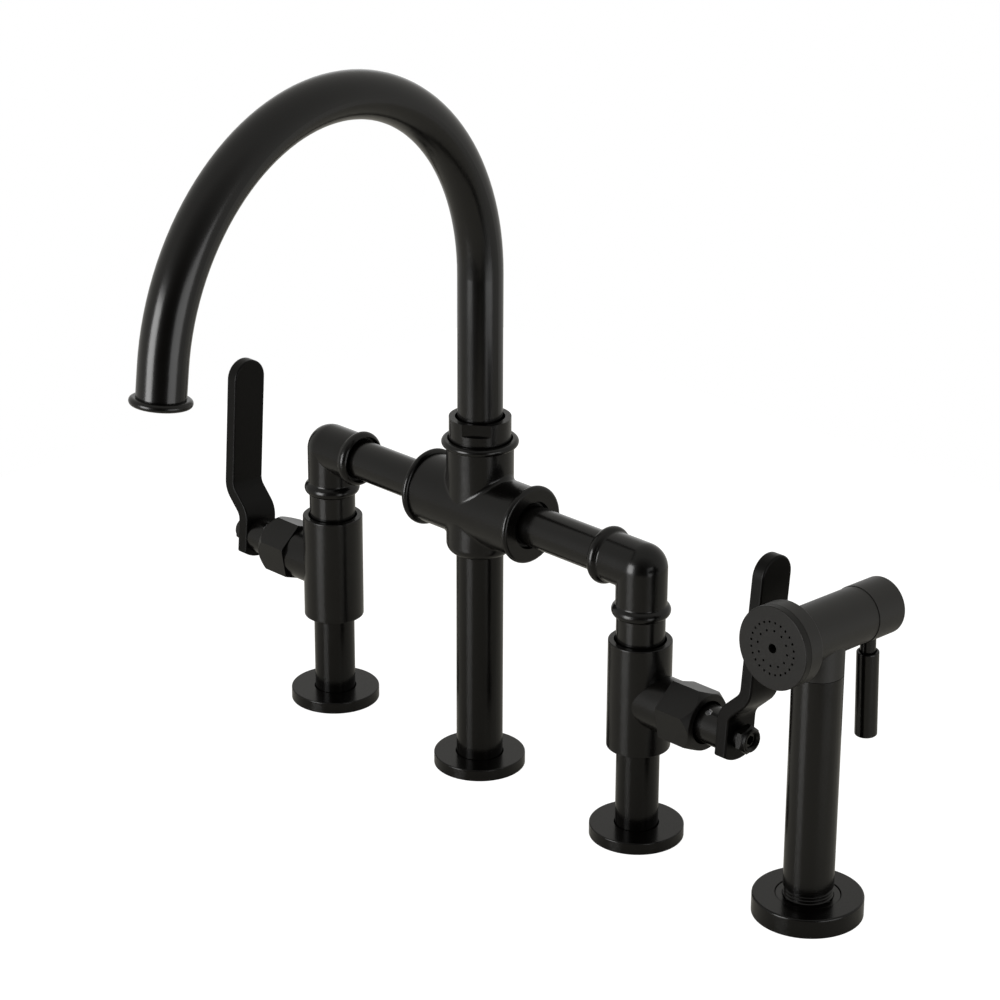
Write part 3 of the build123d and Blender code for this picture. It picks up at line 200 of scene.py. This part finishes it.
# %% Black powder coat
COAT_DARK = (0.0007, 0.0006, 0.0005)
COAT_LIGHT = (0.0016, 0.0014, 0.0012)
GRAIN_SIZE = 0.0007
GRAIN_HEIGHT = 0.000016
WAVE_SIZE = 0.006
WAVE_HEIGHT = 0.00002
CLOUD_SIZE = 0.022
SATIN_GLOSS = (0.19, 0.23)
SATIN_GRAIN = 0.7
SATIN_MIRROR = 0.375


def powder_coat(name, gloss, grain, mirror, dark=COAT_DARK, light=COAT_LIGHT):
    """Black powder coat, by its range of roughness, height of grain and strength of mirror."""
    material, tree = new_material(name)
    clouds = tree.noise(CLOUD_SIZE, detail=3.0)
    fine = tree.noise(GRAIN_SIZE, detail=1.0)
    wave = tree.noise(WAVE_SIZE)
    shader = tree.add("ShaderNodeBsdfPrincipled")
    shader.inputs["Specular IOR Level"].default_value = mirror
    tree.join(tree.tint(clouds, dark, light), shader, "Base Color")
    tree.join(tree.spread(clouds, *gloss), shader, "Roughness")
    relief = tree.bump(wave, WAVE_HEIGHT)
    relief = tree.bump(fine, GRAIN_HEIGHT * grain, under=relief)
    tree.join(relief, shader, "Normal")
    tree.surface(shader.outputs[0])
    return material


satin_coat = powder_coat("satin_black_coat", SATIN_GLOSS, SATIN_GRAIN, SATIN_MIRROR)
print("first coat:", satin_coat.name)

# %% [markdown]
# ## One coat for each kind of piece
# The same powder comes out of the oven a little different on each kind of piece. The
# tubes, the hubs of the handles and the trigger come out satin. The posts, the flanges
# and the base of the hand spray are as smooth but mirror less. Castings keep some
# roughness of their own, and the nuts and the flat levers are duller. The head and the
# plate of the hand spray are a greyer black with a coarse grain. One mix could serve them
# all, but with a mix for each kind, each can be matched by itself.

# %% One coat for each kind of piece
CAST_MIRROR = 0.33
SPRAY_DARK = (0.0090, 0.0085, 0.0077)
SPRAY_LIGHT = (0.0122, 0.0116, 0.0106)
PLATE_DARK = (0.0066, 0.0062, 0.0057)
PLATE_LIGHT = (0.0092, 0.0087, 0.0080)

cast_coat = powder_coat("cast_black_coat", gloss=(0.21, 0.26), grain=0.9, mirror=CAST_MIRROR)
post_coat = powder_coat("post_black_coat", gloss=SATIN_GLOSS, grain=SATIN_GRAIN, mirror=0.27)
nut_coat = powder_coat("nut_black_coat", gloss=(0.32, 0.38), grain=1.0, mirror=CAST_MIRROR)
lever_coat = powder_coat("lever_black_coat", gloss=(0.34, 0.40), grain=1.2, mirror=0.13)
spray_coat = powder_coat(
    "spray_black_coat",
    gloss=(0.41, 0.47),
    grain=1.5,
    mirror=SATIN_MIRROR,
    dark=SPRAY_DARK,
    light=SPRAY_LIGHT,
)
plate_coat = powder_coat(
    "plate_black_coat",
    gloss=(0.41, 0.46),
    grain=1.3,
    mirror=0.2,
    dark=PLATE_DARK,
    light=PLATE_LIGHT,
)
coats = (cast_coat, post_coat, nut_coat, lever_coat, spray_coat, plate_coat)
print("other coats:", ", ".join(coat.name for coat in coats))

# %% [markdown]
# ## Bare metals
# The valves, the spray and the foot of the spout are bare brass inside, and the screws,
# the pin and the spring are steel. Both are metals, so all their colour is in the
# reflection. A lathe leaves rings, which could be drawn round each piece's own axis, but
# hardly any of this is ever seen, so a fine noise stands for the marks of the tool.

# %% Bare metals
METAL_CLOUD_SIZE = 0.011
METAL_GLOSS_SPAN = 0.06
MARK_HEIGHT = 0.000006


def bare_metal(name, dark, light, gloss, mark_size):
    """A machined metal with fine tool marks; gloss is its middle roughness."""
    material, tree = new_material(name)
    marks = tree.noise(mark_size)
    clouds = tree.noise(METAL_CLOUD_SIZE)
    shader = tree.add("ShaderNodeBsdfPrincipled", Metallic=1.0)
    tree.join(tree.tint(clouds, dark, light), shader, "Base Color")
    tree.join(tree.vary(marks, gloss, METAL_GLOSS_SPAN), shader, "Roughness")
    tree.join(tree.bump(marks, MARK_HEIGHT), shader, "Normal")
    tree.surface(shader.outputs[0])
    return material


turned_brass = bare_metal(
    "turned_brass",
    dark=(0.60, 0.43, 0.18),
    light=(0.74, 0.56, 0.27),
    gloss=0.32,
    mark_size=0.0006,
)
ground_steel = bare_metal(
    "ground_steel",
    dark=(0.50, 0.50, 0.51),
    light=(0.66, 0.66, 0.67),
    gloss=0.28,
    mark_size=0.0004,
)
print("metals:", turned_brass.name, "and", ground_steel.name)

# %% [markdown]
# ## Seals, discs and plastic
# Rubber is nearly black with a dusty bloom, the ceramic discs are lapped to a soft white,
# and the slip washer and the aerator's core are moulded in plain black plastic. None of
# them is a metal, and one plain recipe with a fine grain is enough for all three.

# %% Seals, discs and plastic
DULL_GLOSS_SPAN = 0.05


def dull_solid(name, dark, light, gloss, grain_size, grain_height):
    """A non-metal with a mottled colour and a fine surface; gloss is its middle roughness."""
    material, tree = new_material(name)
    grain = tree.noise(grain_size)
    shader = tree.add("ShaderNodeBsdfPrincipled")
    tree.join(tree.tint(grain, dark, light), shader, "Base Color")
    tree.join(tree.vary(grain, gloss, DULL_GLOSS_SPAN), shader, "Roughness")
    tree.join(tree.bump(grain, grain_height), shader, "Normal")
    tree.surface(shader.outputs[0])
    return material


seal_rubber = dull_solid(
    "seal_rubber",
    dark=(0.014, 0.014, 0.014),
    light=(0.028, 0.027, 0.026),
    gloss=0.6,
    grain_size=0.0009,
    grain_height=0.00001,
)
lapped_ceramic = dull_solid(
    "lapped_ceramic",
    dark=(0.80, 0.79, 0.76),
    light=(0.88, 0.87, 0.84),
    gloss=0.22,
    grain_size=0.0007,
    grain_height=0.000002,
)
moulded_plastic = dull_solid(
    "moulded_plastic",
    dark=(0.018, 0.018, 0.019),
    light=(0.028, 0.028, 0.03),
    gloss=0.42,
    grain_size=0.0005,
    grain_height=0.000005,
)
print("dull solids:", seal_rubber.name, lapped_ceramic.name, moulded_plastic.name)

# %% [markdown]
# ## Dress the pieces
# Each piece could be given its material by hand, but there are sixty. What isn't coated
# takes the finish of its slot in the record. A coated piece goes by a word in its name,
# and the first row that holds such a word counts, so the nut of a lever is found before
# the lever. What no row names is a casting or a small turned piece: the cast coat.

# %% Dress the pieces
BY_SLOT = {
    "bare_brass": turned_brass,
    "steel": ground_steel,
    "black_rubber": seal_rubber,
    "valve_ceramic": lapped_ceramic,
    "dark_plastic": moulded_plastic,
}
BY_WORD = (
    (satin_coat, ("spout_tube", "bridge_tube", "nipple", "handle_hub", "sprayer_handle", "trigger")),
    (post_coat, ("post", "flange", "sprayer_base")),
    (nut_coat, ("lever_nut", "bonnet_nut")),
    (lever_coat, ("lever",)),
    (spray_coat, ("sprayer_head", "sprayer_rear_cap")),
    (plate_coat, ("sprayer_face_plate",)),
)


def finish_for(node, slot):
    """The material of one node."""
    if slot in BY_SLOT:
        return BY_SLOT[slot]
    for coat, words in BY_WORD:
        if any(word in node for word in words):
            return coat
    return cast_coat


slots = {row["node"]: row["material_slot"] for row in frame["record"]["subparts"]}
for node, piece in frame["nodes"].items():
    piece.data.materials.clear()
    piece.data.materials.append(finish_for(node, slots[node]))
print("dressed", len(slots), "nodes")

# %% [markdown]
# ## Table
# A glossy black thing has hardly any colour of its own: what we see on it is the room.
# So the room is laid out like the one a tap is photographed in, and first comes its small
# pale table. The underside of every tube mirrors it. A plain sheet would look grey here
# and show its edges, so the camera is shown something else: a nearly white glow over a
# dark matt sheet, which keeps a faint shadow where the feet stand.

# %% Table
TABLE_SIZE = 0.9
TABLE_COLOUR = (0.67, 0.65, 0.59)
TABLE_GLOSS = 0.18
TABLE_GLOW = 0.94
SHADOW_COLOUR = (0.3, 0.3, 0.3)
UNDER_FEET = 0.0002


def choose(tree, switch, usual, special):
    """The usual shader, or the special one where the switch is 1."""
    mix = tree.add("ShaderNodeMixShader")
    for socket, source in enumerate((switch, usual, special)):
        tree.join(source, mix, socket)
    return mix.outputs[0]


def table_sheet():
    """Pale laminate, which the camera sees as white with a shadow."""
    material, tree = new_material("table_sheet")
    laminate = tree.add("ShaderNodeBsdfPrincipled", Roughness=TABLE_GLOSS)
    laminate.inputs["Base Color"].default_value = opaque(TABLE_COLOUR)
    glow = tree.add("ShaderNodeEmission", Strength=TABLE_GLOW)
    shaded = tree.add("ShaderNodeBsdfDiffuse", Color=opaque(SHADOW_COLOUR))
    white = tree.add("ShaderNodeAddShader")
    tree.join(glow.outputs[0], white, 0)
    tree.join(shaded.outputs[0], white, 1)
    from_camera = tree.add("ShaderNodeLightPath").outputs["Is Camera Ray"]
    tree.surface(choose(tree, from_camera, laminate.outputs[0], white.outputs[0]))
    return material


def make_table():
    """A square sheet just under the feet."""
    half = TABLE_SIZE / 2
    mesh = bpy.data.meshes.new("table")
    corners = [(-half, -half, 0), (half, -half, 0), (half, half, 0), (-half, half, 0)]
    mesh.from_pydata(corners, [], [(0, 1, 2, 3)])
    mesh.materials.append(table_sheet())
    table = bpy.data.objects.new("table", mesh)
    table.location.z = -UNDER_FEET
    scene.collection.objects.link(table)
    return table


table = make_table()
print("table:", TABLE_SIZE, "m on each side, in", table.data.materials[0].name)

# %% [markdown]
# ## Room
# A picture of a studio could light all this, but a smooth change is enough. As a light,
# the room is evenly bright, except that it falls off to nearly dark on the camera's side,
# and that dark is what gives the tubes their deep black fronts. Straight behind the
# faucet there is also a white wall, which only mirrors and glass see. The camera itself
# sees white on all sides.

# %% Room
DARK_SIDE = (0.707, -0.707, 0.0)
ROOM_COLOUR = (1.0, 0.985, 0.935)
WHITE = (1.0, 1.0, 1.0)
ROOM_DARK = 0.05
ROOM_LIGHT = 0.6
DARK_START = 0.3
DARK_END = 0.95
WALL_START = 0.93
WALL_END = 1.0


def calculate(tree, operation, first, second):
    """One number from two, by a Math node."""
    node = tree.add("ShaderNodeMath", operation=operation)
    tree.join(first, node, 0)
    tree.join(second, node, 1)
    return node.outputs[0]


def make_room():
    """White to the eye; as a light, a room that darkens towards the camera's side."""
    world = bpy.data.worlds.new("room")
    scene.world = world
    tree = Tree(world)
    facing = tree.add("ShaderNodeVectorMath", operation="DOT_PRODUCT")
    tree.join(tree.spaces["Generated"], facing, 0)
    facing.inputs[1].default_value = DARK_SIDE
    side = facing.outputs["Value"]
    room = tree.add("ShaderNodeBackground", Color=opaque(ROOM_COLOUR))
    tree.join(tree.spread(side, ROOM_LIGHT, ROOM_DARK, DARK_START, DARK_END), room, "Strength")
    white = tree.add("ShaderNodeBackground", Color=opaque(WHITE), Strength=1.0)
    ray = tree.add("ShaderNodeLightPath").outputs
    mirrored = calculate(tree, "MAXIMUM", ray["Is Glossy Ray"], ray["Is Transmission Ray"])
    behind = tree.spread(side, 1.0, 0.0, -WALL_END, -WALL_START)
    wall = calculate(tree, "MULTIPLY", mirrored, behind)
    seen = calculate(tree, "MAXIMUM", ray["Is Camera Ray"], wall)
    light = choose(tree, seen, room.outputs[0], white.outputs[0])
    tree.surface(light, output="ShaderNodeOutputWorld")
    return world


world = make_room()
print("world:", world.name, "from", ROOM_DARK, "to", ROOM_LIGHT)

# %% [markdown]
# ## Softboxes
# The long streaks down the tubes are two softboxes, one on each side of the camera: a
# bright one on the left, and a wide, dimmer one on the right. A softbox can be a glowing
# sheet as well, but an area lamp gives the same streak with less noise. Blender asks for
# its power, so that is worked out from how bright its face should look.

# %% Softboxes
LAMP_DISTANCE = 1.6
MIDDLE = Vector((0.05, 0.0, 0.15))


def softbox(name, azimuth, tilt, width, tall, radiance):
    """A flat soft lamp round the faucet, aimed at its middle; radiance is how bright it looks."""
    lamp = bpy.data.lights.new(name, "AREA")
    lamp.shape = "RECTANGLE"
    lamp.size = width
    lamp.size_y = tall
    lamp.energy = radiance * pi * width * tall
    turn = radians(azimuth)
    rise = radians(tilt)
    out = Vector((sin(turn) * cos(rise), -cos(turn) * cos(rise), sin(rise)))
    item = bpy.data.objects.new(name, lamp)
    item.location = MIDDLE + out * LAMP_DISTANCE
    item.rotation_euler = (-out).to_track_quat("-Z", "Y").to_euler()
    scene.collection.objects.link(item)
    return item


left = softbox("left_softbox", azimuth=-9, tilt=5, width=0.72, tall=1.02, radiance=10.3)
right = softbox("right_softbox", azimuth=88, tilt=-2, width=1.05, tall=0.92, radiance=2.9)
for item in (left, right):
    print(item.name, round(item.data.energy, 1), "watts")

# %% [markdown]
# ## Finish
# Colours are shown as they are, with no film look over them.

# %% Finish
scene.view_settings.view_transform = "Standard"
